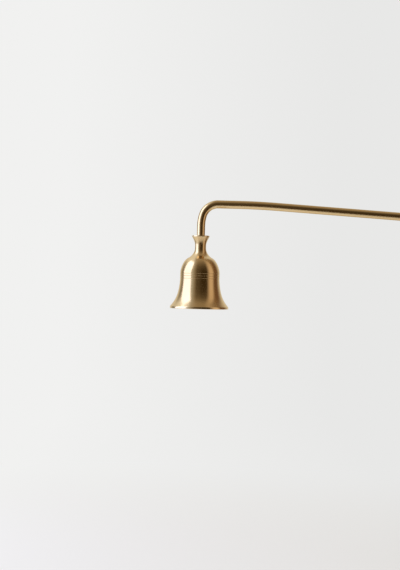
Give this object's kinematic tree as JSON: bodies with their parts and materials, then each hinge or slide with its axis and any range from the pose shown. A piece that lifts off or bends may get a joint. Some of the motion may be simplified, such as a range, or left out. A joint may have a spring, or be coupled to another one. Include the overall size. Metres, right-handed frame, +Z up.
{
  "type": "candle snuffer",
  "caption": "Brass bell-shaped candle snuffer: a turned bell with a flared collar, held on a bent rod handle by a nut and washer inside its crown.",
  "frame": {"origin": "centre of the bell's mouth, in the plane of its rim", "axes": "+Z up the bell's axis towards the collar, +X along the handle's reach, +Y across it"},
  "size_m": [0.2033, 0.033, 0.0615],
  "materials": {
    "turned_brass": "satin, with fine lathe lines",
    "drawn_brass": "drawn and polished",
    "fastener_brass": "machined"
  },
  "bodies": {
    "root": {"bell": "turned_brass", "handle_rod": "drawn_brass", "crown_washer": "fastener_brass", "lock_nut": "fastener_brass"}
  },
  "joints": []
}
